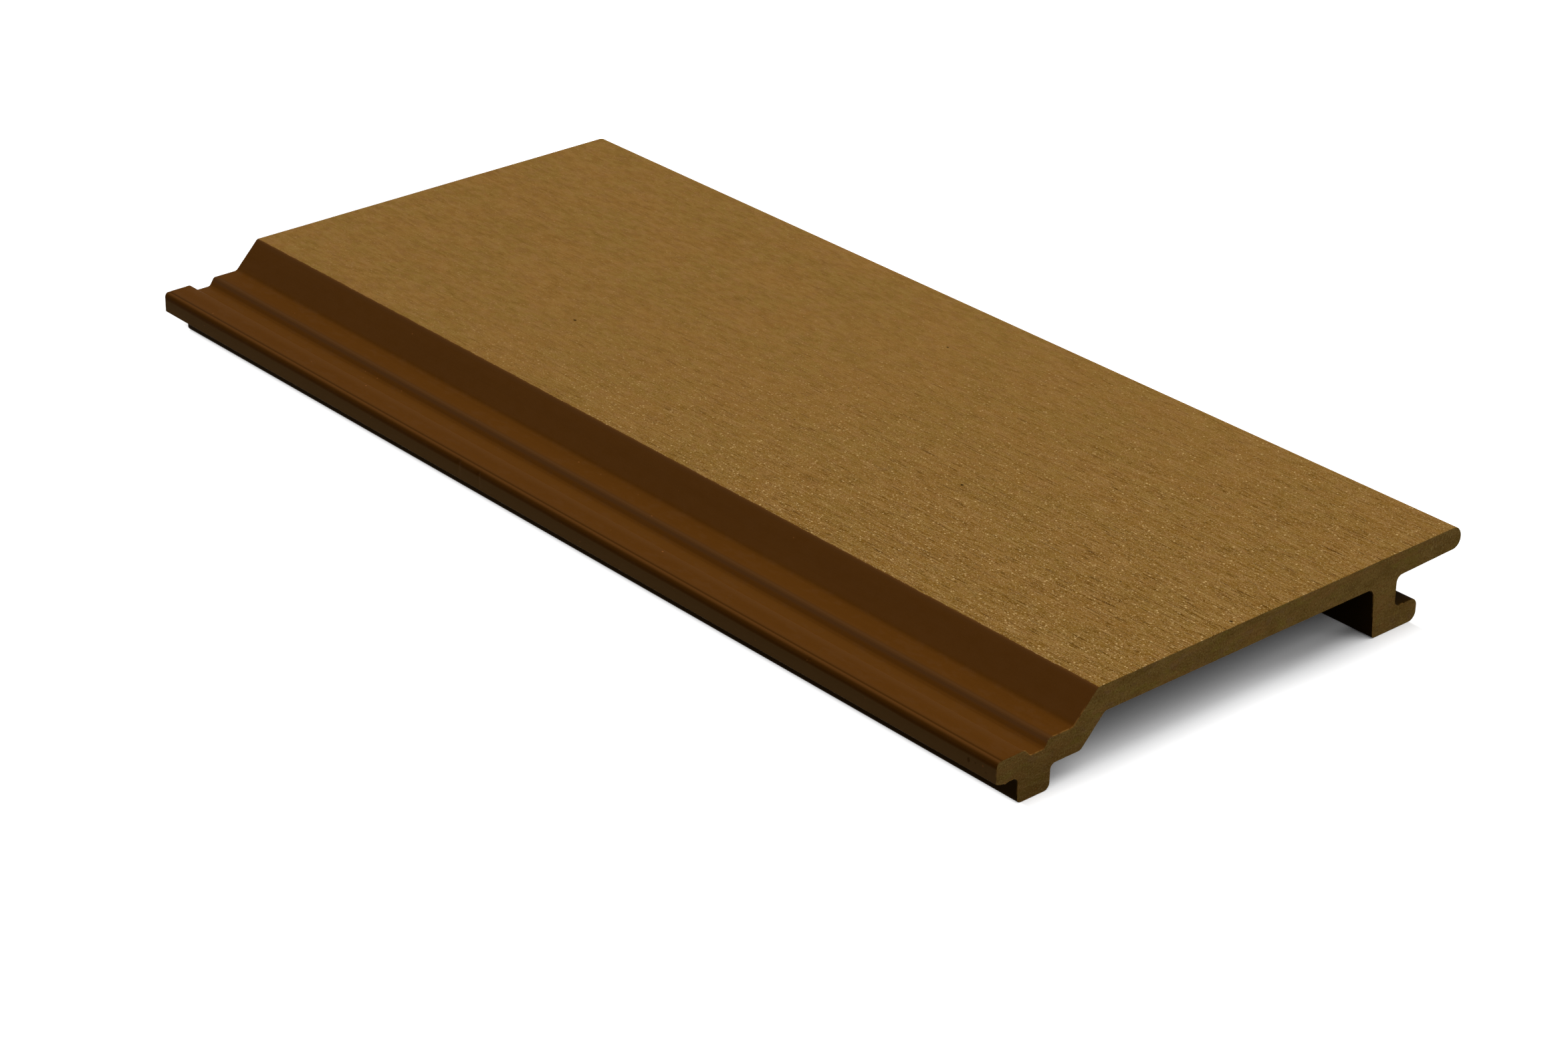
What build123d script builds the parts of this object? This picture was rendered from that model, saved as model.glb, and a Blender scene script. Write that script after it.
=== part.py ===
"""Composite cladding board: one extruded plank with an interlocking moulded section.

The board lies face up on its two feet. Millimetres, +Z up, +Y along the board,
+X from the tongue edge to the nose edge, origin under the middle of the bounding box.
The section is drawn with x measured from the tongue's tip and z from the wall plane.
"""

import os
from math import radians, sin, tan

from build123d import *

# overall sizes
width = 156.0
thickness = 21.0
length = 325.0

# visible face and the plate behind it
plate_thickness = 7.15
face_start = 30.75  # from the tongue's tip to the top of the bevel
bevel_angle = 46.0
bevel_wall = 7.0
plate_corner_radius = 1.5

# tongue, screw groove and the flat at the bevel's foot
flat_height = 13.45
flat_edge = 16.0
groove_height = 11.2
groove_start = 10.5
groove_end = 14.5
tongue_height = 13.15
tongue_top_end = 8.2
tongue_radius = 1.4
lip_height = 7.5  # underside of the tongue at its tip
drip_height = 6.55
drip_reach = 3.1  # from the tongue's tip to the drip edge
relief_height = 6.95
relief_reach = 4.4
flat_underside = 6.35

# foot under the tongue
foot_start = 6.85
foot_width = 10.2
foot_inner_radius = 1.8
foot_outer_radius = 1.3

# leg, ledge and overhang at the nose edge
leg_start = 125.65  # at the wall plane
leg_thickness = 7.45
leg_draft = 1.25  # the leg is this much thicker at the plate
leg_corner_radius = 1.0
leg_root_radius = 2.2
ledge_end = 141.5
ledge_height = 6.15
ledge_foot_radius = 2.3
ledge_top_radius = 2.3
overhang_root = 6.7  # thickness beside the leg
overhang_tip = 6.05  # thickness at the nose
nose_top_radius = 3.3
nose_bottom_radius = 2.6


def bevel_x(z):
    """Where the bevel's outer line is at height z."""
    return face_start - (thickness - z) / tan(radians(bevel_angle))


def bevel_inner_x(z):
    """Where the line behind the bevel is at height z, one wall thickness away."""
    return bevel_x(z) + bevel_wall / sin(radians(bevel_angle))


foot_end = foot_start + foot_width
leg_end = leg_start + leg_thickness
plate_underside = thickness - plate_thickness
relief_end = relief_height - 0.25

# each corner is x, z and the radius of its rounding
section = [
    # foot, from its outer bottom corner
    (foot_start, 0, foot_outer_radius),
    (foot_end, 0, foot_inner_radius),
    (foot_end, flat_underside, 1.4),
    # hollow behind the bevel and the plate
    (bevel_inner_x(flat_underside), flat_underside, 2.0),
    (bevel_inner_x(plate_underside), plate_underside, plate_corner_radius),
    (leg_start - leg_draft, plate_underside, leg_root_radius),
    # leg and ledge
    (leg_start, 0, leg_corner_radius),
    (ledge_end, 0, ledge_foot_radius),
    (ledge_end, ledge_height, ledge_top_radius),
    (leg_end, ledge_height, 1.6),
    # overhang and nose
    (leg_end, thickness - overhang_root, 1.6),
    (width, thickness - overhang_tip, nose_bottom_radius),
    (width, thickness, nose_top_radius),
    # face, bevel and the flat at its foot
    (face_start, thickness, 1.2),
    (bevel_x(flat_height), flat_height, 1.6),
    (flat_edge, flat_height, 0.9),
    # screw groove
    (groove_end, groove_height, 1.1),
    (groove_start, groove_height, 0.7),
    (tongue_top_end, tongue_height, 0.8),
    # tongue, drip edge and the relief behind it
    (0, tongue_height, tongue_radius),
    (0, lip_height, 0.4),
    (drip_reach, drip_height, 1.0),
    (relief_reach, relief_height, 0.5),
    (foot_start, relief_end, 1.6),
]

corners = [(x - width / 2, z) for x, z, _ in section]
radii = [radius for _, _, radius in section]

with BuildPart() as board:
    with BuildSketch(Plane.XZ):
        with BuildLine():
            FilletPolyline(*corners, radius=radii, close=True)
        make_face()
    extrude(amount=length / 2, both=True)

cladding_board = board.part
cladding_board.label = "cladding_board"

os.makedirs("parts", exist_ok=True)
export_step(cladding_board, "parts/cladding_board.step")
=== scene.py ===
"""Visual model of the composite cladding board: fine relief, three finishes, floor, light and camera.

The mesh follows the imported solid's own section, so every place comes from the frame.
Row frame in metres: +X from the tongue edge to the nose edge, +Y along the board, +Z out of the face.
"""

import random
from collections import Counter, defaultdict
from functools import reduce
from math import atan2, exp, hypot, inf, pi, radians

import bmesh
import bpy
from mathutils import Matrix, Vector, noise
from mathutils.geometry import delaunay_2d_cdt


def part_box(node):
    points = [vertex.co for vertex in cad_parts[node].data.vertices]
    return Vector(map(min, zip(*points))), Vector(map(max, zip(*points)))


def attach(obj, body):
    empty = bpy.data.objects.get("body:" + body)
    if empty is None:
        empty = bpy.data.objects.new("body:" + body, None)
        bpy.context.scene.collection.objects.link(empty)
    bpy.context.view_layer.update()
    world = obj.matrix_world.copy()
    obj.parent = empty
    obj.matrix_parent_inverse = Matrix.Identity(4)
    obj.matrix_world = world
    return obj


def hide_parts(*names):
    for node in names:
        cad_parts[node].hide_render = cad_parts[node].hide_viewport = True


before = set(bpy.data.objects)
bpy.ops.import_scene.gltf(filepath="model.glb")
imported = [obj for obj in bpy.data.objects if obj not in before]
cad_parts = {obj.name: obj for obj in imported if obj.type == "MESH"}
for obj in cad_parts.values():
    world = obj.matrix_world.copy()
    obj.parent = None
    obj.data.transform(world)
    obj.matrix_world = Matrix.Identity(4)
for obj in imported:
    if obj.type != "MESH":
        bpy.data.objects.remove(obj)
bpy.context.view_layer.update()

MM = 0.001
SAME = 1e-6  # points nearer than this are one point
DECIMALS = 7  # of a metre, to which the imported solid's points are rounded
NODE = "cladding_board"
FACE_FINISH, SKIN_FINISH, SAWN_FINISH = range(3)
NEAR_END, FAR_END = -1, 1  # each is also the way that its sawn end looks along Y

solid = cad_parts[NODE]
low, high = (Vector(corner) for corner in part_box(NODE))

# mesh spacing
COARSE_RUN = 5.0 * MM
FINE_RUN = 0.5 * MM
LIP_RUN = 0.16 * MM
RING_STEP = 6.0 * MM
END_ZONE = 2.0 * MM  # from a sawn end to the first of the plain rings
RINGS_APART = 0.1 * MM  # rings nearer than this are one ring

# worn arris at the sawn ends
ARRIS_DEPTH = 0.07 * MM
ARRIS_ROUGHNESS = 0.035 * MM
ROUGHNESS_PER_METRE = 600
CHIP_DEPTH = 0.6 * MM
CHIPS_PER_METRE = 260
CHIP_LEAST = 0.45  # noise above this value is a chip
CORNER_SHARE = 0.4  # of a corner's radius, which is the most that the cap draws in there
WORN_SHARE = 0.4  # of what the cap draws in there, the rest is the rim's
# rings behind each sawn end: distance from it, and how much of the rim's colour they carry
ARRIS_RINGS = ((0.12 * MM, 1.0), (0.35 * MM, 0.3), (0.9 * MM, 0.0))
RIM_WIDTH = 0.22 * MM

# surface of the sawn ends: small triangles, and the saw's shallow waves
CAP_STEP = 1.3 * MM
CAP_JITTER = 0.3  # share of a step that each point of the cap is moved at most
CAP_CLEAR = 0.5  # share of a step that each point of the cap stays away from its rim
CAP_SEEDS = {NEAR_END: 6, FAR_END: 8}
CAP_INSIDE = 1  # the triangulation's own number for giving only what is inside the outline
CAP_CLOSE = 1e-7  # and how near two of its points may be
SAW_WAVE_DEPTH = 0.03 * MM
SAW_WAVE_LENGTH = 4.0 * MM

# lines that the extrusion die leaves on the tongue: distance from the tip, height, half-width
DIE_LINES = [
    (0.55 * MM, 0.05 * MM, 0.30 * MM),
    (1.60 * MM, -0.10 * MM, 0.45 * MM),
    (7.45 * MM, 0.05 * MM, 0.40 * MM),
    (8.40 * MM, -0.03 * MM, 0.25 * MM),
]
UPPER_SIDE = 0.4  # share of the thickness, above which the tongue's points are on its upper side
LIP_REACH = 3.0 * MM

# wear and painted sheen of the roundings, and waves along the extruded sides, which leave the wall plane and
# the tips alone
WEAR_AND_SHEEN_REACH = 0.9 * MM
WEAR_AND_SHEEN_LEAST_TURN = 0.25  # radians per millimetre; flatter roundings get neither wear nor sheen
WAVE_DEPTH = 0.05 * MM
WAVE_LENGTH = 60.0 * MM
WAVE_ACROSS = 20.0 * MM
WAVE_CLEAR = 2.0 * MM

# how far below the top the sanded face's mesh reaches, at the bevel and at the nose
FACE_DEPTH_BEVEL = 0.4 * MM
FACE_DEPTH_NOSE = 2.6 * MM

# nicks in the lip: distance from the near end, height, radius, depth
NICK_REACH = 2.0 * MM
NICK_RINGS = 6  # on each side of a nick
NICK_RING_STEP = 0.3  # of its radius
NICKS = [
    (184.5 * MM, 11.9 * MM, 0.55 * MM, 0.22 * MM),
    (192.8 * MM, 12.0 * MM, 0.75 * MM, 0.28 * MM),
    (61.0 * MM, 12.3 * MM, 0.40 * MM, 0.12 * MM),
]

# small burrs that the saw left on the near end: distance from the tip, height, radius, rise
BURRS = [
    (8.9 * MM, 12.85 * MM, 0.55 * MM, 0.30 * MM),
    (9.6 * MM, 12.20 * MM, 0.40 * MM, 0.16 * MM),
    (16.1 * MM, 13.35 * MM, 0.50 * MM, 0.20 * MM),
    (17.3 * MM, 13.45 * MM, 0.40 * MM, 0.13 * MM),
    (20.4 * MM, 13.45 * MM, 0.35 * MM, 0.10 * MM),
    (1.3 * MM, 7.15 * MM, 0.60 * MM, 0.12 * MM),
    (2.9 * MM, 6.60 * MM, 0.45 * MM, 0.14 * MM),
    (4.7 * MM, 6.95 * MM, 0.40 * MM, 0.16 * MM),
]
BURR_LENGTH = 0.30 * MM
BURR_END = 4 * BURR_LENGTH  # nothing is left of a burr beyond this distance
BURR_CLEAR = 1.0 * MM  # the mesh is finer within this distance of a burr

# dark marks on the lip's side: distance from the near end, height, half-length, half-height, strength
SMUDGES = [
    (8.7 * MM, 10.0 * MM, 0.55 * MM, 0.85 * MM, 0.75),
    (6.6 * MM, 10.1 * MM, 0.30 * MM, 0.24 * MM, 0.60),
    (3.2 * MM, 9.2 * MM, 0.40 * MM, 0.35 * MM, 0.30),
]

# the saw blade that left its arcs on the sawn ends, in millimetres in the row frame
BLADE_CENTRE = (-46.0, 0.0, 118.0)
BLADE_STEP = 1.3

# how far apart in a pattern two seeds are
SEED_STEP = (17.3, 5.1, 9.7)

# colours in linear light
FACE_WARM = (0.2345, 0.1210, 0.0290, 1)
FACE_OLIVE = (0.2200, 0.1220, 0.0275, 1)
FACE_RUSTY = (0.2490, 0.1150, 0.0305, 1)
FACE_BROWN = (0.2150, 0.1045, 0.0088, 1)
FACE_DUSTY = (0.2390, 0.1215, 0.0385, 1)
PORE_COLOUR = (0.098, 0.0360, 0.0012, 1)
FURROW_COLOUR = (0.070, 0.0240, 0.0008, 1)
SPECK_COLOUR = (0.53, 0.345, 0.140, 1)
PIT_COLOUR = (0.030, 0.014, 0.002, 1)
SKIN_COLOUR = (0.0920, 0.0316, 0.0032, 1)
SKIN_DARK = (0.0820, 0.0278, 0.0027, 1)
# painted shade in the skin's creases, and the colour of the smudges
SKIN_SHADE_AND_SMUDGE = (0.044, 0.0145, 0.0003, 1)
# painted shade where the skin never sees light
SKIN_PAINTED_DEEP_SHADE = (0.016, 0.0085, 0.0005, 1)
# wear, and painted sheen on the roundings and the bevel
SKIN_WEAR_AND_SHEEN = (0.100, 0.044, 0.0150, 1)
# painted reflection on the lip's side
SKIN_SIDE_REFLECTION = (0.1480, 0.0800, 0.0260, 1)
# painted light on the step's wall
SKIN_STEP_PAINTED_LIGHT = (0.1150, 0.0400, 0.0045, 1)
SKIN_LIGHT = (0.1040, 0.0378, 0.0048, 1)
SAWN_COLOUR = (0.254, 0.150, 0.0385, 1)
SAWN_DARK = (0.175, 0.100, 0.0215, 1)
SAWN_WARM = (0.258, 0.131, 0.0345, 1)
SAWN_OLIVE = (0.219, 0.148, 0.0260, 1)
SAWN_MAUVE = (0.205, 0.112, 0.0480, 1)
# the flow layers, and painted shade low on the tongue's side
SAWN_FLOW_AND_SHADE = (0.105, 0.0530, 0.0085, 1)
SAWN_SPECK = (0.62, 0.45, 0.17, 1)
SAWN_RED = (0.36, 0.13, 0.035, 1)
BURR_COLOUR = (0.34, 0.175, 0.042, 1)

# camera of the photograph
CAMERA_PLACE = (-0.59106, -0.65821, 0.43454)
CAMERA_AZIMUTH = radians(-42.171)
CAMERA_ELEVATION = radians(27.112)
CAMERA_ROLL = radians(1.410)
CAMERA_LENS = 87.404
SENSOR_WIDTH = 36.0

# light; the floor and the sky are white to these rays only
WHITE = (1, 1, 1, 1)
WHITE_TO = ("Is Camera Ray", "Is Glossy Ray", "Is Transmission Ray")
SKY_LEVEL = 0.35
LAMP_SIZE = 2.4
LAMP_PLACE = (0.62, -0.25, 1.85)
LAMP_POWER = 42.0

# floor: how white it glows by itself under the board, past its ends and beside its feet,
# and over which millimetres each of them begins; this glow paints out the shadow there
FLOOR_SIZE = 12.0
FLOOR_ALBEDO = 0.04
FLOOR_GLOW_UNDER = 0.09
FLOOR_GLOW_ENDS = 0.36
FLOOR_GLOW_SIDES = 0.95
FLOOR_CLEAR_UNDER = (-22.0, -4.0)  # past the sawn end
FLOOR_CLEAR_ENDS = (-10.0, 10.0)  # past the sawn end
FLOOR_CLEAR_SIDES = (-1.0, 2.0)  # past the feet
# painted shadow: the glow is weaker towards the leg, so the shadow is deeper there
FLOOR_BY_LEG = (2.0, 40.0)  # across the board, in the row frame
FLOOR_LEG_SHADOW = (-10.0, -5.0)  # past the sawn end
FLOOR_LEG_SHIFT = 4.0


def end_outline(mesh):
    """The near sawn end's outline as (x, z) points in order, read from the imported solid's mesh."""

    def place(index):
        co = mesh.vertices[index].co
        return round(co.x, DECIMALS), round(co.z, DECIMALS)

    near = {v.index for v in mesh.vertices if v.co.y - low.y < SAME}
    uses = Counter()
    for face in mesh.polygons:
        if near.issuperset(face.vertices):
            uses.update(frozenset((place(a), place(b))) for a, b in face.edge_keys)
    beside = defaultdict(list)
    for edge, count in uses.items():
        if count == 1 and len(edge) == 2:
            a, b = edge
            beside[a].append(b)
            beside[b].append(a)
    start = min(beside)
    outline, last = [start], None
    while True:
        here = outline[-1]
        ahead = next(point for point in beside[here] if point != last)
        if ahead == start:
            break
        outline.append(ahead)
        last = here
    area = sum(a[0] * b[1] - b[0] * a[1] for a, b in zip(outline, outline[1:] + outline[:1]))
    return outline if area > 0 else outline[::-1]


def on_lip(a, b):
    """Whether a run of the outline is on the tongue's upper edge, where the die lines are."""
    return max(a[0], b[0]) - low.x < LIP_REACH and min(a[1], b[1]) > UPPER_SIDE * high.z


def by_burr(a, b):
    """Whether a run of the outline is beside one of the burrs."""
    x, z = (a[0] + b[0]) / 2 - low.x, (a[1] + b[1]) / 2
    return any(hypot(x - reach, z - up) < BURR_CLEAR for reach, up, _, _ in BURRS)


def split_runs(outline, longest, with_burrs=False):
    """The outline with its long runs divided. It keeps every point of the given one."""
    points = []
    for a, b in zip(outline, outline[1:] + outline[:1]):
        detailed = on_lip(a, b) or (with_burrs and by_burr(a, b))
        limit = min(longest, LIP_RUN) if detailed else longest
        parts = max(1, round(hypot(b[0] - a[0], b[1] - a[1]) / limit + 0.49))
        for i in range(parts):
            t = i / parts
            points.append((a[0] + (b[0] - a[0]) * t, a[1] + (b[1] - a[1]) * t))
    return points


def outward(points):
    """The outward normal of each outline point, and how sharply the outline turns there, per metre."""
    normals, turns = [], []
    for before, here, after in zip(points[-1:] + points[:-1], points, points[1:] + points[:1]):
        ax, az = here[0] - before[0], here[1] - before[1]
        bx, bz = after[0] - here[0], after[1] - here[1]
        la, lb = hypot(ax, az), hypot(bx, bz)
        nx, nz = az / la + bz / lb, -ax / la - bx / lb
        size = hypot(nx, nz)
        normals.append((nx / size, nz / size))
        turns.append(2 * atan2(ax * bz - az * bx, ax * bx + az * bz) / (la + lb))
    return normals, turns


def spread_wear_and_sheen(points, turns):
    """How much wear and painted sheen each point carries, from 0 to 1: most on the sharpest outer roundings,
    fading beside them.
    """
    sharp = [min(1.0, max(0.0, turn * MM - WEAR_AND_SHEEN_LEAST_TURN)) for turn in turns]

    def share(here, there):
        return exp(-((hypot(here[0] - there[0], here[1] - there[1]) / WEAR_AND_SHEEN_REACH) ** 2))

    return [max(share(here, there) * most for there, most in zip(points, sharp)) for here in points]


def relief(x, z, nz, y):
    """Height of the fine relief at one point of the extruded sides, outwards in metres."""
    wave = noise.noise((x / WAVE_ACROSS, y / WAVE_LENGTH, z / WAVE_ACROSS))
    waved = z > WAVE_CLEAR and abs(x) < high.x - WAVE_CLEAR
    height = -WAVE_DEPTH * (0.5 + 0.5 * wave) if waved else 0.0
    looks_up = nz > 0.5
    if looks_up and z > UPPER_SIDE * high.z:
        for reach, rise, half in DIE_LINES:
            height += rise * exp(-(((x - low.x - reach) / half) ** 2))
    if x - low.x < NICK_REACH:
        for along, up, radius, depth in NICKS:
            away = hypot(x - low.x, y - low.y - along, z - up) / radius
            height -= depth * exp(-(away**2))
    if y - low.y < BURR_END:
        fading = exp(-(((y - low.y) / BURR_LENGTH) ** 2))
        for reach, up, radius, rise in BURRS:
            away = hypot(x - low.x - reach, z - up) / radius
            height += rise * exp(-(away**2)) * fading
    return height


def ring_places():
    """Where the rings of the mesh are along the board, between the two end zones."""
    span = high.y - low.y - 2 * END_ZONE
    count = round(span / RING_STEP)
    places = {low.y + END_ZONE + span / count * i for i in range(count + 1)}
    for along, _, radius, _ in NICKS:
        step = radius * NICK_RING_STEP
        places.update(low.y + along + step * i for i in range(-NICK_RINGS, NICK_RINGS + 1))
    kept = []
    for y in sorted(places):
        if not kept or y - kept[-1] > RINGS_APART:
            kept.append(y)
    return kept


def end_place(side):
    """Where a sawn end is along the board."""
    return low.y if side == NEAR_END else high.y


def worn_back(side, x, z):
    """How far a sawn end's edge is worn back at a point, with a chip here and there."""
    rough = noise.noise((x * ROUGHNESS_PER_METRE, side * 7.0, z * ROUGHNESS_PER_METRE))
    chips = noise.noise((x * CHIPS_PER_METRE, side * 3.0 + 40, z * CHIPS_PER_METRE))
    return ARRIS_DEPTH + ARRIS_ROUGHNESS * rough + CHIP_DEPTH * max(0.0, chips - CHIP_LEAST)


def cap_places(loop, side):
    """The places of a cap's points: its rim's, then those of a loose grid that stays clear of the rim."""
    draw = random.Random(CAP_SEEDS[side])
    rim = [(vert.co.x, vert.co.z) for vert in loop]
    grid = []
    steps_x, steps_z = round((high.x - low.x) / CAP_STEP), round((high.z - low.z) / CAP_STEP)
    for i in range(1, steps_x):
        for k in range(1, steps_z):
            x = low.x + CAP_STEP * (i + draw.uniform(-CAP_JITTER, CAP_JITTER))
            z = low.z + CAP_STEP * (k + draw.uniform(-CAP_JITTER, CAP_JITTER))
            if min(hypot(x - a, z - b) for a, b in rim) > CAP_CLEAR * CAP_STEP:
                grid.append((x, z))
    return [Vector(place) for place in rim + grid]


class Outline:
    """An outline of the section, with the normal, the wear and painted sheen of each point and the finish of
    each run.
    """

    def __init__(self, points):
        self.points = points
        self.normals, self.turns = outward(points)
        self.wear_and_sheen = spread_wear_and_sheen(points, self.turns)
        self.finishes = []
        for a, b in zip(points, points[1:] + points[:1]):
            depth = FACE_DEPTH_BEVEL if a[0] < 0 else FACE_DEPTH_NOSE
            self.finishes.append(FACE_FINISH if min(a[1], b[1]) > high.z - depth else SKIN_FINISH)

    def inset_limit(self, i):
        """The most that a cap may draw in at a point: under half the radius of a rounded corner."""
        sharpest = max(self.turns[(i + k) % len(self.turns)] for k in range(-2, 3))
        return CORNER_SHARE / sharpest if sharpest > 0 else inf


class BoardMesh:
    """The board as one closed mesh: fine rings at the sawn ends, coarser rings between them."""

    def __init__(self, section):
        coarse = split_runs(section, COARSE_RUN)
        fine = split_runs(split_runs(coarse, 2 * BURR_CLEAR), FINE_RUN, with_burrs=True)
        # the fine outline keeps every point of the coarse one
        spots = set(coarse)
        self.shared = [i for i, point in enumerate(fine) if point in spots]
        self.fine, self.coarse = Outline(fine), Outline(coarse)
        self.bm = bmesh.new()
        self.rim = self.bm.verts.layers.float.new("rim")
        self.wear_and_sheen = self.bm.verts.layers.float.new("wear_and_sheen")

    def ring(self, outline, y, rim_value, inset=None):
        """The points of an outline at one place along the board, with the relief on them."""
        verts = []
        for i, ((x, z), (nx, nz)) in enumerate(zip(outline.points, outline.normals)):
            height = relief(x, z, nz, y) - (inset(i, x, z) if inset else 0.0)
            vert = self.bm.verts.new((x + nx * height, y, z + nz * height))
            vert[self.rim] = rim_value
            vert[self.wear_and_sheen] = outline.wear_and_sheen[i]
            verts.append(vert)
        return verts

    def cap_ring(self, side, extra, rim_value):
        """A fine ring in the plane of a sawn end, drawn in by its wear and by an extra distance."""

        def inset(i, x, z):
            most = self.fine.inset_limit(i)
            worn = min(worn_back(side, x, z), WORN_SHARE * most)
            return worn + min(extra, (1 - WORN_SHARE) * most)

        return self.ring(self.fine, end_place(side), rim_value, inset)

    def face(self, corners, finish, turned=False):
        """One smooth face; turned takes its corners the other way round."""
        face = self.bm.faces.new(corners[::-1] if turned else corners)
        face.smooth = True
        face.material_index = finish

    def band(self, a, b, finishes):
        """The faces between two rings of one outline, the second further along the board."""
        for i, finish in enumerate(finishes):
            j = (i + 1) % len(a)
            self.face((a[i], b[i], b[j], a[j]), finish)

    def cap_point(self, x, z, side):
        """A point of the cap, as deep as the saw's wave is there."""
        wave = noise.noise((x / SAW_WAVE_LENGTH, side * 9.0, z / SAW_WAVE_LENGTH))
        depth = SAW_WAVE_DEPTH * (0.5 + 0.5 * wave)
        return self.bm.verts.new((x, end_place(side) - side * depth, z))

    def fill_cap(self, loop, side):
        """Fills a sawn end inside its rim with small triangles."""
        places, outline = cap_places(loop, side), [list(range(len(loop)))]
        spots, _, triangles, origins, *_ = delaunay_2d_cdt(places, [], outline, CAP_INSIDE, CAP_CLOSE)
        verts = {}
        for triangle in triangles:
            for spot in triangle:
                if spot not in verts:
                    origin = min(origins[spot])
                    verts[spot] = loop[origin] if origin < len(loop) else self.cap_point(*spots[spot], side)
            self.face([verts[spot] for spot in triangle], SAWN_FINISH, turned=side == FAR_END)

    def end_zone(self, side):
        """The cap and the fine rings of one sawn end; gives back its innermost fine ring."""
        edge = self.cap_ring(side, 0.0, 1.0)
        inner = self.cap_ring(side, RIM_WIDTH, 0.0)
        loops = [edge]
        for behind, rim_value in ARRIS_RINGS:
            loops.append(self.ring(self.fine, end_place(side) - side * behind, rim_value))
        for a, b in zip(loops, loops[1:]):
            self.band(*((a, b) if side == NEAR_END else (b, a)), self.fine.finishes)
        for i in range(len(edge)):
            j = (i + 1) % len(edge)
            self.face((edge[i], edge[j], inner[j], inner[i]), SAWN_FINISH, turned=side == FAR_END)
            self.bm.edges.get((edge[i], edge[j])).smooth = False
        self.fill_cap(inner, side)
        return loops[-1]

    def join(self, zone, ring, side):
        """The faces between the innermost fine ring of a sawn end and the coarse ring beside it."""
        for k, start in enumerate(self.shared):
            stop = self.shared[k + 1] if k + 1 < len(self.shared) else len(zone)
            run = [zone[i % len(zone)] for i in range(start, stop + 1)]
            run += [ring[(k + 1) % len(ring)], ring[k]]
            self.face(run, self.coarse.finishes[k], turned=side == NEAR_END)

    def build(self):
        near = self.end_zone(NEAR_END)
        rings = [self.ring(self.coarse, y, 0.0) for y in ring_places()]
        far = self.end_zone(FAR_END)
        for a, b in zip(rings, rings[1:]):
            self.band(a, b, self.coarse.finishes)
        self.join(near, rings[0], NEAR_END)
        self.join(far, rings[-1], FAR_END)
        mesh = bpy.data.meshes.new(NODE)
        self.bm.to_mesh(mesh)
        self.bm.free()
        return mesh


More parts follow.
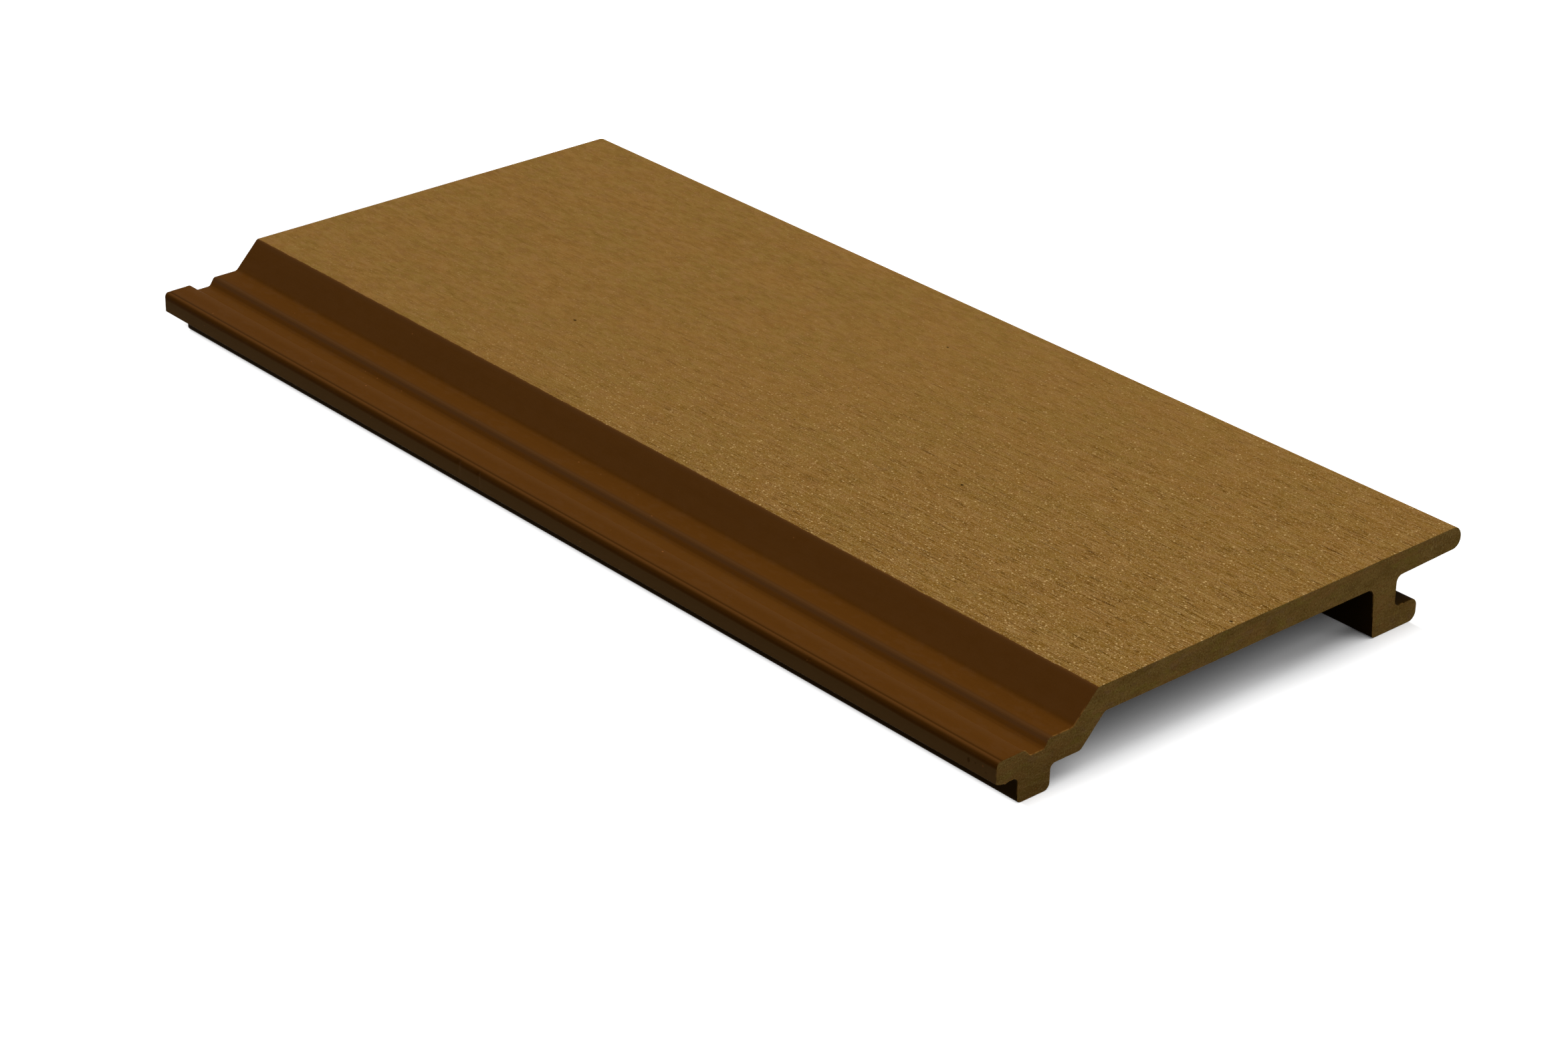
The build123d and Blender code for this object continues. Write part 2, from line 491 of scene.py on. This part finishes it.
class Layers:
    """The nodes of one material. Lengths are millimetres in the row frame."""

    def __init__(self, name):
        self.material = bpy.data.materials.new(name)
        self.material.use_nodes = True
        self.tree = self.material.node_tree
        self.shader = self.tree.nodes["Principled BSDF"]
        place = self.add("ShaderNodeTexCoord").outputs["Object"]
        self.place = self.vector("MULTIPLY", place, (1000, 1000, 1000))
        split = self.add("ShaderNodeSeparateXYZ")
        self.feed(split.inputs[0], self.place)
        self.x, self.y, self.z = split.outputs

    def add(self, kind, **settings):
        node = self.tree.nodes.new(kind)
        for name, value in settings.items():
            setattr(node, name, value)
        return node

    def feed(self, socket, value):
        if isinstance(value, bpy.types.NodeSocket):
            self.tree.links.new(value, socket)
        else:
            socket.default_value = value

    def math(self, operation, a, b=0.0):
        node = self.add("ShaderNodeMath", operation=operation)
        self.feed(node.inputs[0], a)
        self.feed(node.inputs[1], b)
        return node.outputs[0]

    def vector(self, operation, a, b):
        node = self.add("ShaderNodeVectorMath", operation=operation)
        self.feed(node.inputs[0], a)
        self.feed(node.inputs[1], b)
        return node.outputs["Value" if operation in ("LENGTH", "DISTANCE") else "Vector"]

    def sized(self, size, seed):
        """The place divided by a size along each axis and moved to another part of the pattern."""
        scaled = self.vector("MULTIPLY", self.place, tuple(1 / s for s in size))
        return self.vector("ADD", scaled, tuple(seed * step for step in SEED_STEP))

    def noise(self, size, seed, detail=2.0, rough=0.5):
        """Noise from 0 to 1, with blobs of that size along each axis."""
        node = self.add("ShaderNodeTexNoise")
        self.feed(node.inputs["Vector"], self.sized(size, seed))
        node.inputs["Scale"].default_value = 1.0
        node.inputs["Detail"].default_value = detail
        node.inputs["Roughness"].default_value = rough
        return node.outputs[0]

    def step(self, value, start, end):
        """0 before start and 1 after end, smooth between them; start may be the larger."""
        node = self.add("ShaderNodeMapRange", interpolation_type="SMOOTHSTEP")
        self.feed(node.inputs["Value"], value)
        self.feed(node.inputs["From Min"], min(start, end))
        self.feed(node.inputs["From Max"], max(start, end))
        self.feed(node.inputs["To Min"], 0.0 if start < end else 1.0)
        self.feed(node.inputs["To Max"], 1.0 if start < end else 0.0)
        return node.outputs[0]

    def specks(self, size, seed, share, radius):
        """Spots in that share of cells of that size; radius is a share of a cell."""
        node = self.add("ShaderNodeTexVoronoi")
        self.feed(node.inputs["Vector"], self.sized(size, seed))
        node.inputs["Scale"].default_value = 1.0
        split = self.add("ShaderNodeSeparateColor")
        self.feed(split.inputs[0], node.outputs["Color"])
        chosen = self.math("LESS_THAN", split.outputs[0], share)
        size_of_spot = self.math("MULTIPLY", self.math("ADD", split.outputs[1], 0.4), radius)
        spot = self.step(self.math("DIVIDE", node.outputs["Distance"], size_of_spot), 1.0, 0.45)
        return self.math("MULTIPLY", chosen, spot)

    def mix(self, factor, a, b):
        node = self.add("ShaderNodeMix", data_type="RGBA")
        self.feed(node.inputs[0], factor)
        self.feed(node.inputs[6], a)
        self.feed(node.inputs[7], b)
        return node.outputs[2]

    def attribute(self, name):
        return self.add("ShaderNodeAttribute", attribute_name=name).outputs["Fac"]

    def total(self, *parts):
        """The sum of (value, factor) pairs."""
        result = 0.0
        for value, factor in parts:
            result = self.math("ADD", self.math("MULTIPLY", value, factor), result)
        return result

    def product(self, *parts):
        return reduce(lambda a, b: self.math("MULTIPLY", a, b), parts)

    def largest(self, *parts):
        """The largest of (value, factor) pairs, each multiplied out."""
        products = [self.math("MULTIPLY", value, factor) for value, factor in parts]
        return reduce(lambda a, b: self.math("MAXIMUM", a, b), products)

    def inverse(self, value):
        return self.math("SUBTRACT", 1.0, value)

    def across(self, start, end):
        """A step across the board, its two places measured from the tongue's tip."""
        return self.step(self.x, low.x / MM + start, low.x / MM + end)

    def finish(self, colour, roughness, height):
        """Feeds the shader; height is in millimetres."""
        self.feed(self.shader.inputs["Base Color"], colour)
        self.feed(self.shader.inputs["Roughness"], roughness)
        bump = self.add("ShaderNodeBump")
        bump.inputs["Strength"].default_value = 1.0
        bump.inputs["Distance"].default_value = MM
        self.feed(bump.inputs["Height"], height)
        self.feed(self.shader.inputs["Normal"], bump.outputs[0])
        return self.material


def torn_rim(m):
    """Where the cut edge is torn and paler: here and there, most at the groove and under the lip."""
    burrs = m.step(m.noise((2.6, 2.6, 2.6), 7, 3.0, 0.7), 0.44, 0.58)
    at_groove = m.product(m.across(8.0, 8.5), m.across(11.2, 10.4))
    under_lip = m.product(m.step(m.z, 8.2, 7.4), m.across(6.8, 6.2))
    tongue_top = m.product(m.step(m.z, 11.0, 12.2), m.across(8.3, 7.6))
    below_face = m.step(m.z, high.z / MM - 1.0, high.z / MM - 5.0)
    share = m.largest((burrs, 0.55), (at_groove, 0.90), (under_lip, 0.80))
    return m.product(share, m.inverse(tongue_top), below_face)


def smudge(m, along, up, half_along, half_up, ragged):
    """A dark mark on the lip's side, with a ragged edge."""
    away = m.vector("SUBTRACT", m.place, (low.x / MM, (low.y + along) / MM, up / MM))
    away = m.vector("MULTIPLY", away, (0.0, MM / half_along, MM / half_up))
    edge = m.math("ADD", m.vector("LENGTH", away, away), m.math("MULTIPLY", ragged, 0.8))
    return m.step(edge, 1.5, 0.9)


def skin_layers(m):
    """Colour, roughness and height of the extruded skin: fine lines along the board and a faint grain."""
    top = high.z / MM
    lines = m.noise((0.45, 260.0, 0.45), 1, 3.0, 0.6)
    bands = m.noise((2.6, 180.0, 2.6), 2, 2.0)
    clouds = m.noise((16.0, 45.0, 16.0), 3, 3.0)
    blotches = m.noise((2.2, 4.5, 2.2), 8, 3.0, 0.65)
    grain = m.noise((0.32, 0.5, 0.32), 4, 2.0, 0.7)
    dust = m.specks((2.4, 2.8, 2.4), 5, 0.10, 0.09)
    scuffs = m.step(m.noise((1.1, 7.0, 1.1), 6, 3.0, 0.65), 0.62, 0.78)
    shade = m.total((lines, 0.45), (bands, 0.35), (clouds, 0.5), (grain, 0.6), (blotches, 0.4))
    colour = m.mix(m.step(shade, 0.84, 1.46), SKIN_DARK, SKIN_COLOUR)
    on_side = m.across(0.35, 0.1)
    on_tongue_top = m.step(m.z, 12.0, 12.6)
    rippled_z = m.total((m.z, 1.0), (clouds, 0.8))

    # a little paler in the groove, and painted light on the step's wall beside it
    in_groove = m.product(m.across(5.0, 9.0), m.across(14.2, 13.6))
    on_step = m.product(m.across(14.0, 14.8), m.across(16.2, 15.8))
    colour = m.mix(m.product(in_groove, 0.50), colour, SKIN_LIGHT)
    colour = m.mix(on_step, colour, SKIN_STEP_PAINTED_LIGHT)

    # wear and painted sheen: a painted highlight on the roundings except the lip's own, on the step's edge
    # and on the bevel and its top, and wear at scuffs and blotches
    rounding = m.step(m.total((m.attribute("wear_and_sheen"), 1.0), (grain, 0.3)), 0.35, 1.3)
    rounding = m.product(rounding, m.inverse(m.across(0.55, 0.15)))
    step_edge = m.product(m.across(15.1, 15.6), m.across(17.6, 16.6))
    bevel = m.product(m.step(rippled_z, 14.0, 15.0), m.total((blotches, 0.6), (0.15, 1.0)))
    bevel_top = m.step(rippled_z, top - 1.6, top + 0.5)
    worn = m.largest((rounding, 0.30), (step_edge, 0.65), (bevel, 0.45), (bevel_top, 0.45),
                     (scuffs, 0.10), (m.step(blotches, 0.48, 0.66), 0.18))
    colour = m.mix(worn, colour, SKIN_WEAR_AND_SHEEN)
    # painted reflection of the pale floor on the lip's side: paler and bluer
    side = m.product(on_side, m.step(rippled_z, 12.0, 11.3))
    colour = m.mix(m.product(side, 0.75), colour, SKIN_SIDE_REFLECTION)

    # painted shade in the die's groove beside the lip and on the lip's top beside it, under the lip's
    # rounding, high on the lip's side and beside the step; the smudges are dark marks of their own
    die_groove = m.product(m.across(1.05, 1.30), m.across(2.1, 1.6), on_tongue_top)
    beside_groove = m.product(m.across(2.8, 1.6), m.across(1.0, 1.3))
    under_ridge = m.product(m.step(rippled_z, 11.4, 12.2), m.across(0.70, 0.20))
    upper_side = m.product(m.step(m.z, 8.6, 11.4), m.across(0.62, 0.25))
    beside_step = m.product(m.across(15.6, 16.2), m.across(17.7, 16.9), m.step(m.z, 12.9, 13.3))
    marks = [(m.product(smudge(m, *mark, grain), on_side), strength) for *mark, strength in SMUDGES]
    shade_and_smudges = m.largest((die_groove, 0.90), (under_ridge, 0.32), (upper_side, 0.16), (beside_step, 0.34),
                     (beside_groove, 0.30), *marks)
    colour = m.mix(shade_and_smudges, colour, SKIN_SHADE_AND_SMUDGE)

    # painted shade, darkest where the skin never sees light: behind the plate, at the leg, in the slot, on
    # the foot's side
    behind = m.product(m.across(25.0, 27.0), m.across(140.6, 139.8), m.step(m.z, 14.3, 14.0))
    by_foot = m.product(m.step(m.z, 6.9, 6.2), m.across(22.0, 18.0))
    colour = m.mix(m.largest((behind, 0.90), (by_foot, 0.90)), colour, SKIN_PAINTED_DEEP_SHADE)

    colour = m.mix(m.product(dust, 0.5), colour, SAWN_RED)
    rim = m.product(m.step(m.attribute("rim"), 0.25, 0.95), torn_rim(m))
    colour = m.mix(m.product(rim, 0.60), colour, BURR_COLOUR)
    roughness = m.total((lines, 0.10), (scuffs, 0.10), (grain, 0.08), (0.44, 1.0))
    height = m.total((lines, 0.010), (grain, 0.006), (scuffs, -0.006))
    return colour, roughness, height


def skin_material():
    m = Layers("extruded_skin")
    m.shader.inputs["Specular IOR Level"].default_value = 0.006
    return m.finish(*skin_layers(m))


def face_material(section):
    """Sanded and brushed wood-plastic: short furrows along the board, pale fibre specks and a few pits."""
    m = Layers("sanded_face")
    m.shader.inputs["Specular IOR Level"].default_value = 0.003
    patches = m.noise((14.0, 26.0, 14.0), 11, 3.0, 0.6)
    colour = m.mix(m.step(patches, 0.36, 0.64), FACE_OLIVE, FACE_WARM)
    tints = m.noise((1.6, 2.6, 1.6), 19, 2.0, 0.6)
    colour = m.mix(m.product(m.step(tints, 0.50, 0.70), 0.45), colour, FACE_RUSTY)
    dusty = m.noise((2.0, 3.4, 2.0), 33, 3.0, 0.6)
    colour = m.mix(m.product(m.step(dusty, 0.46, 0.64), 0.55), colour, FACE_DUSTY)

    # pale fibres and dark pores, liveliest at the near left corner
    lively = m.step(m.total((m.x, 0.67), (m.y, 0.74)), 67.0, -125.0)
    lively = m.total((lively, 1.28), (0.24, 1.0))
    grain = m.noise((0.25, 0.42, 0.25), 12, 2.0, 0.6)
    streaks = m.noise((0.26, 7.5, 0.26), 20, 1.0, 0.5)
    dashes = m.noise((0.25, 0.80, 0.25), 16, 2.0, 0.6)
    pale = m.largest((m.step(grain, 0.55, 0.70), 1.0), (m.step(streaks, 0.54, 0.76), 0.34))
    pale = m.product(pale, lively, 0.60)
    pores = m.largest((m.step(dashes, 0.44, 0.28), 1.0), (m.step(streaks, 0.48, 0.28), 0.42))
    pores = m.product(pores, lively, 0.80)

    # the brushing leaves browner ground between its furrows
    brushing = m.noise((0.27, 3.6, 0.27), 14, 3.0, 0.65)
    beside = m.largest((m.step(brushing, 0.50, 0.59), 1.0), (m.step(dashes, 0.49, 0.37), 1.0))
    colour = m.mix(m.product(beside, lively, 0.50), colour, FACE_BROWN)
    colour = m.mix(pores, colour, PORE_COLOUR)

    # soft blots where the grain is calm
    blots = m.noise((1.5, 4.2, 1.5), 35, 3.0, 0.7)
    calm = m.total((lively, -0.66), (1.0, 1.0))
    colour = m.mix(m.product(m.step(blots, 0.55, 0.36), calm, 0.24), colour, PORE_COLOUR)
    colour = m.mix(m.product(m.step(blots, 0.50, 0.68), calm, 0.06), colour, SPECK_COLOUR)

    # furrows, broken and in clusters, with a few long ones
    clusters = m.step(m.noise((4.5, 9.0, 4.5), 13, 3.0, 0.6), 0.40, 0.62)
    short = m.product(m.step(brushing, 0.57, 0.67), m.total((clusters, 0.70), (0.25, 1.0)))
    long = m.step(m.noise((0.38, 9.0, 0.38), 15, 3.0, 0.60), 0.62, 0.71)
    furrow = m.product(m.largest((short, 1.0), (long, 1.0)), m.total((lively, 0.60), (0.16, 1.0)))
    colour = m.mix(m.product(furrow, 0.95), colour, FURROW_COLOUR)

    # pale flakes, more of them towards the tongue
    share = m.total((m.step(m.x, 70.0, -45.0), 0.14), (clusters, 0.08), (0.08, 1.0))
    flakes = m.specks((0.62, 0.85, 0.62), 17, share, 0.36)
    speck = m.largest((pale, 1.0), (m.product(flakes, lively), 0.90))
    colour = m.mix(speck, colour, SPECK_COLOUR)
    pits = m.specks((6.0, 9.0, 6.0), 18, 0.22, 0.055)
    colour = m.mix(pits, colour, PIT_COLOUR)

    # the sanding ends on the roundings at the two sides, where the skin begins
    face_left = min(x for x, z in section if z > high.z - SAME)
    jitter = m.total((tints, 0.5), (grain, 0.25), (-0.38, 1.0))
    left = m.step(m.math("ADD", m.x, jitter), face_left / MM - 0.32, face_left / MM - 0.18)
    right = m.step(m.math("ADD", m.z, jitter), high.z / MM - 1.9, high.z / MM - 1.0)
    sanded = m.product(left, right)
    skin_colour, skin_roughness, skin_height = skin_layers(m)
    colour = m.mix(sanded, skin_colour, colour)
    own_height = m.total((furrow, -0.080), (speck, 0.045), (pores, -0.050), (pits, -0.15))
    own_roughness = m.total((grain, 0.20), (furrow, 0.15), (0.55, 1.0))
    roughness = m.total((own_roughness, sanded), (skin_roughness, m.inverse(sanded)))
    height = m.total((own_height, sanded), (skin_height, 1.0))
    return m.finish(colour, roughness, height)


def sawn_material():
    """The sawn ends: an open, speckled cut with faint arcs of the blade and a torn, warmer rim."""
    m = Layers("sawn_end")
    m.shader.inputs["Specular IOR Level"].default_value = 0.014
    top = high.z / MM
    clouds = m.noise((7.0, 7.0, 3.5), 21, 3.0, 0.6)
    grain = m.noise((0.44, 0.44, 0.44), 22, 3.0, 0.7)
    colour = m.mix(m.step(m.total((clouds, 0.8), (grain, 0.7)), 0.57, 0.93), SAWN_DARK, SAWN_COLOUR)
    warm = m.step(m.noise((9.0, 9.0, 2.6), 23, 3.0, 0.6), 0.48, 0.64)
    colour = m.mix(m.product(warm, 0.6), colour, SAWN_WARM)
    olive = m.step(m.noise((5.0, 5.0, 2.2), 30, 3.0, 0.6), 0.50, 0.68)
    colour = m.mix(m.product(olive, 0.65), colour, SAWN_OLIVE)
    mauve = m.step(m.noise((3.4, 3.4, 2.4), 32, 3.0, 0.6), 0.55, 0.70)
    colour = m.mix(m.product(mauve, 0.45), colour, SAWN_MAUVE)

    # flow layers of the extrusion; painted shade low on the tongue's side, towards the floor, and a little
    # darker at the nose
    flow = m.step(m.noise((6.0, 6.0, 0.7), 34, 3.0, 0.6), 0.52, 0.68)
    colour = m.mix(m.product(flow, 0.22), colour, SAWN_FLOW_AND_SHADE)
    low_left = m.product(m.step(m.z, 16.0, 0.0), m.step(m.x, 110.0, -70.0))
    darker_low_and_at_nose = m.largest((low_left, 1.0), (m.step(m.x, 40.0, 75.0), 0.16))
    colour = m.mix(m.product(darker_low_and_at_nose, 0.66), colour, SAWN_FLOW_AND_SHADE)

    # arcs of the saw blade, which cut from above the face, and its scratches near the nose
    blade = m.vector("DISTANCE", m.place, BLADE_CENTRE)
    phase = m.total((blade, 2 * pi / BLADE_STEP), (m.noise((3.0, 3.0, 3.0), 24, 2.0), 5.0))
    arcs = m.math("POWER", m.total((m.math("SINE", phase), 0.5), (0.5, 1.0)), 6.0)
    arcs = m.product(arcs, m.step(m.noise((6.0, 6.0, 6.0), 25, 2.0), 0.46, 0.66))
    colour = m.mix(m.product(arcs, 0.06), colour, SAWN_SPECK)
    scratches = m.step(m.noise((0.26, 0.26, 1.4), 31, 2.0, 0.6), 0.54, 0.68)
    scratches = m.product(scratches, m.step(m.x, 60.0, 67.0), m.step(m.z, top - 5.5, top - 3.0))
    colour = m.mix(m.product(scratches, 0.30), colour, SAWN_SPECK)

    pale = m.step(grain, 0.53, 0.66)
    big = m.specks((0.9, 0.9, 0.9), 27, 0.22, 0.22)
    red = m.specks((1.7, 1.7, 1.7), 28, 0.14, 0.20)
    colour = m.mix(m.product(m.step(grain, 0.46, 0.34), 0.60), colour, PORE_COLOUR)
    colour = m.mix(m.product(pale, 0.15), colour, SAWN_SPECK)
    colour = m.mix(m.product(big, 0.36), colour, SAWN_SPECK)
    colour = m.mix(m.product(red, 0.45), colour, SAWN_RED)

    rim = m.product(m.step(m.attribute("rim"), 0.2, 0.9), torn_rim(m))
    colour = m.mix(rim, colour, BURR_COLOUR)
    height = m.total((grain, 0.030), (arcs, 0.006), (pale, 0.020), (big, 0.030), (scratches, 0.02))
    roughness = m.total((grain, 0.15), (0.62, 1.0))
    return m.finish(colour, roughness, height)


def floor_material(section):
    """Pale floor: white to the camera, plain to the light that it throws back on the object."""
    m = Layers("pale_floor")
    ray = m.add("ShaderNodeLightPath")
    seen = m.largest(*((ray.outputs[kind], 1.0) for kind in WHITE_TO))
    albedo = (FLOOR_ALBEDO, FLOOR_ALBEDO, FLOOR_ALBEDO, 1)
    m.feed(m.shader.inputs["Base Color"], m.mix(seen, albedo, WHITE))
    # painted light: beyond the feet the floor glows nearly white by itself, which paints out the shadow
    # there, so the shadow stays under the board and at its ends
    feet = [x / MM for x, z in section if z < SAME]
    middle, half = (min(feet) + max(feet)) / 2, (max(feet) - min(feet)) / 2
    beside = m.math("SUBTRACT", m.math("ABSOLUTE", m.math("SUBTRACT", m.x, middle)), half)
    ahead = m.math("SUBTRACT", m.math("ABSOLUTE", m.y), high.y / MM)
    by_leg = m.step(m.x, *FLOOR_BY_LEG)
    leg_shadow = m.product(m.step(ahead, *FLOOR_LEG_SHADOW), by_leg)
    under = m.product(m.step(ahead, *FLOOR_CLEAR_UNDER), m.inverse(leg_shadow))
    ends = m.step(m.total((by_leg, -FLOOR_LEG_SHIFT), (ahead, 1.0)), *FLOOR_CLEAR_ENDS)
    sides = m.step(beside, *FLOOR_CLEAR_SIDES)
    own = m.largest((sides, FLOOR_GLOW_SIDES), (ends, FLOOR_GLOW_ENDS), (under, FLOOR_GLOW_UNDER))
    m.shader.inputs["Emission Color"].default_value = WHITE
    m.feed(m.shader.inputs["Emission Strength"], m.product(own, seen))
    m.shader.inputs["Roughness"].default_value = 1.0
    m.shader.inputs["Specular IOR Level"].default_value = 0.0
    return m.material


def add_floor(section):
    """A flat floor that the board lies on."""
    bm = bmesh.new()
    half = FLOOR_SIZE / 2
    corners = [bm.verts.new((sx * half, sy * half, low.z)) for sx, sy in ((-1, -1), (1, -1), (1, 1), (-1, 1))]
    bm.faces.new(corners)
    mesh = bpy.data.meshes.new("floor")
    bm.to_mesh(mesh)
    bm.free()
    mesh.materials.append(floor_material(section))
    floor = bpy.data.objects.new("floor", mesh)
    bpy.context.collection.objects.link(floor)


def add_sky():
    """A dim sky that is white to the camera."""
    world = bpy.data.worlds.new("sky")
    world.use_nodes = True
    tree = world.node_tree
    ray = tree.nodes.new("ShaderNodeLightPath")
    seen = tree.nodes.new("ShaderNodeMath")
    seen.operation = "MAXIMUM"
    also = tree.nodes.new("ShaderNodeMath")
    also.operation = "MAXIMUM"
    sockets = (seen.inputs[0], also.inputs[0], also.inputs[1])
    for kind, socket in zip(WHITE_TO, sockets):
        tree.links.new(ray.outputs[kind], socket)
    tree.links.new(also.outputs[0], seen.inputs[1])
    level = tree.nodes.new("ShaderNodeMapRange")
    level.inputs["To Min"].default_value = SKY_LEVEL
    level.inputs["To Max"].default_value = 1.0
    tree.links.new(seen.outputs[0], level.inputs["Value"])
    tree.links.new(level.outputs[0], tree.nodes["Background"].inputs["Strength"])
    tree.nodes["Background"].inputs["Color"].default_value = WHITE
    bpy.context.scene.world = world


def add_lamp():
    """One large soft lamp, on the nose side so that the tongue side is darker."""
    lamp = bpy.data.lights.new("soft_lamp", "AREA")
    lamp.shape = "SQUARE"
    lamp.size = LAMP_SIZE
    lamp.energy = LAMP_POWER
    lamp_object = bpy.data.objects.new("soft_lamp", lamp)
    lamp_object.location = LAMP_PLACE
    lamp_object.rotation_euler = Vector(LAMP_PLACE).to_track_quat("Z", "Y").to_euler()
    bpy.context.collection.objects.link(lamp_object)


def photo_camera():
    """The camera of the photograph, by its fitted place and angles."""
    camera = bpy.data.cameras.new("photo_camera")
    camera.lens = CAMERA_LENS
    camera.sensor_fit = "HORIZONTAL"
    camera.sensor_width = SENSOR_WIDTH
    camera.clip_start = 0.01
    turn = Matrix.Rotation(CAMERA_AZIMUTH, 4, "Z")
    turn @= Matrix.Rotation(pi / 2 - CAMERA_ELEVATION, 4, "X")
    turn @= Matrix.Rotation(CAMERA_ROLL, 4, "Z")
    holder = bpy.data.objects.new("photo_camera", camera)
    holder.matrix_world = Matrix.Translation(CAMERA_PLACE) @ turn
    bpy.context.collection.objects.link(holder)
    bpy.context.scene.camera = holder


section = end_outline(solid.data)
photo_camera()
add_floor(section)
add_sky()
add_lamp()

board = bpy.data.objects.new("board", BoardMesh(section).build())
bpy.context.collection.objects.link(board)
for finish in (face_material(section), skin_material(), sawn_material()):
    board.data.materials.append(finish)
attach(board, "root")
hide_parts(NODE)

bpy.context.scene.view_settings.view_transform = "Standard"
